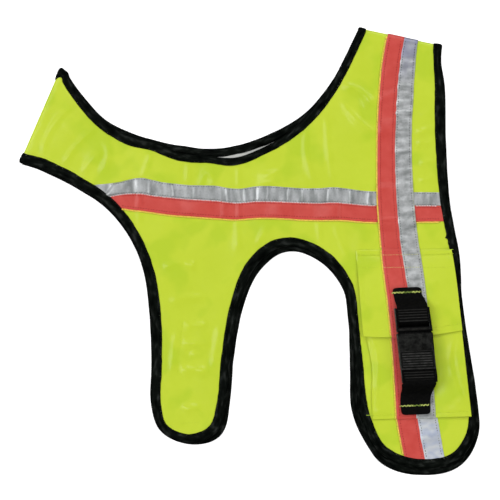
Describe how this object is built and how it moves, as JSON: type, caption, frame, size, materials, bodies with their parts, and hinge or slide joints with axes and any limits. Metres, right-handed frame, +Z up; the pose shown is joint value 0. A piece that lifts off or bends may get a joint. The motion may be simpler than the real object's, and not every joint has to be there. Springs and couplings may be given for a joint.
{
  "type": "dog safety vest",
  "caption": "Dog safety vest laid flat on its side: bright cloth with dark bound edges, a tape pair across and down, a flap over a pocket and a buckled strap.",
  "frame": {"origin": "middle of the laid vest's box, on the surface that it lies on", "axes": "+X to the right as laid, from the chest fold towards the rear edge; +Y towards the neck opening; +Z up out of the surface, so the far half is below and the near half on top"},
  "size_m": [0.4132, 0.4028, 0.0215],
  "materials": {
    "cloth": "smooth coated cloth, fluorescent yellow, satin",
    "binding": "black woven binding tape, soft sheen",
    "silver_tape": "retroreflective silver tape, fine and slightly crinkled",
    "red_tape": "fluorescent red tape, satin",
    "webbing": "black ribbed polypropylene webbing",
    "buckle": "black moulded plastic, satin"
  },
  "bodies": {
    "root": {"side_near": "cloth", "side_far": "cloth", "pocket": "cloth", "pocket_flap": "cloth", "neck_binding_near": "binding", "neck_binding_far": "binding", "hem_binding_near": "binding", "hem_binding_far": "binding", "silver_tape_across": "silver_tape", "silver_tape_back": "silver_tape", "silver_tape_flap": "silver_tape", "silver_tape_pocket": "silver_tape", "silver_tape_tip": "silver_tape", "silver_tape_far": "silver_tape", "red_tape_across": "red_tape", "red_tape_back": "red_tape", "red_tape_flap": "red_tape", "red_tape_pocket": "red_tape", "red_tape_tip": "red_tape", "red_tape_far": "red_tape", "strap_upper": "webbing", "strap_lower": "webbing", "buckle_tongue_half": "buckle", "buckle_socket_half": "buckle"}
  },
  "joints": []
}
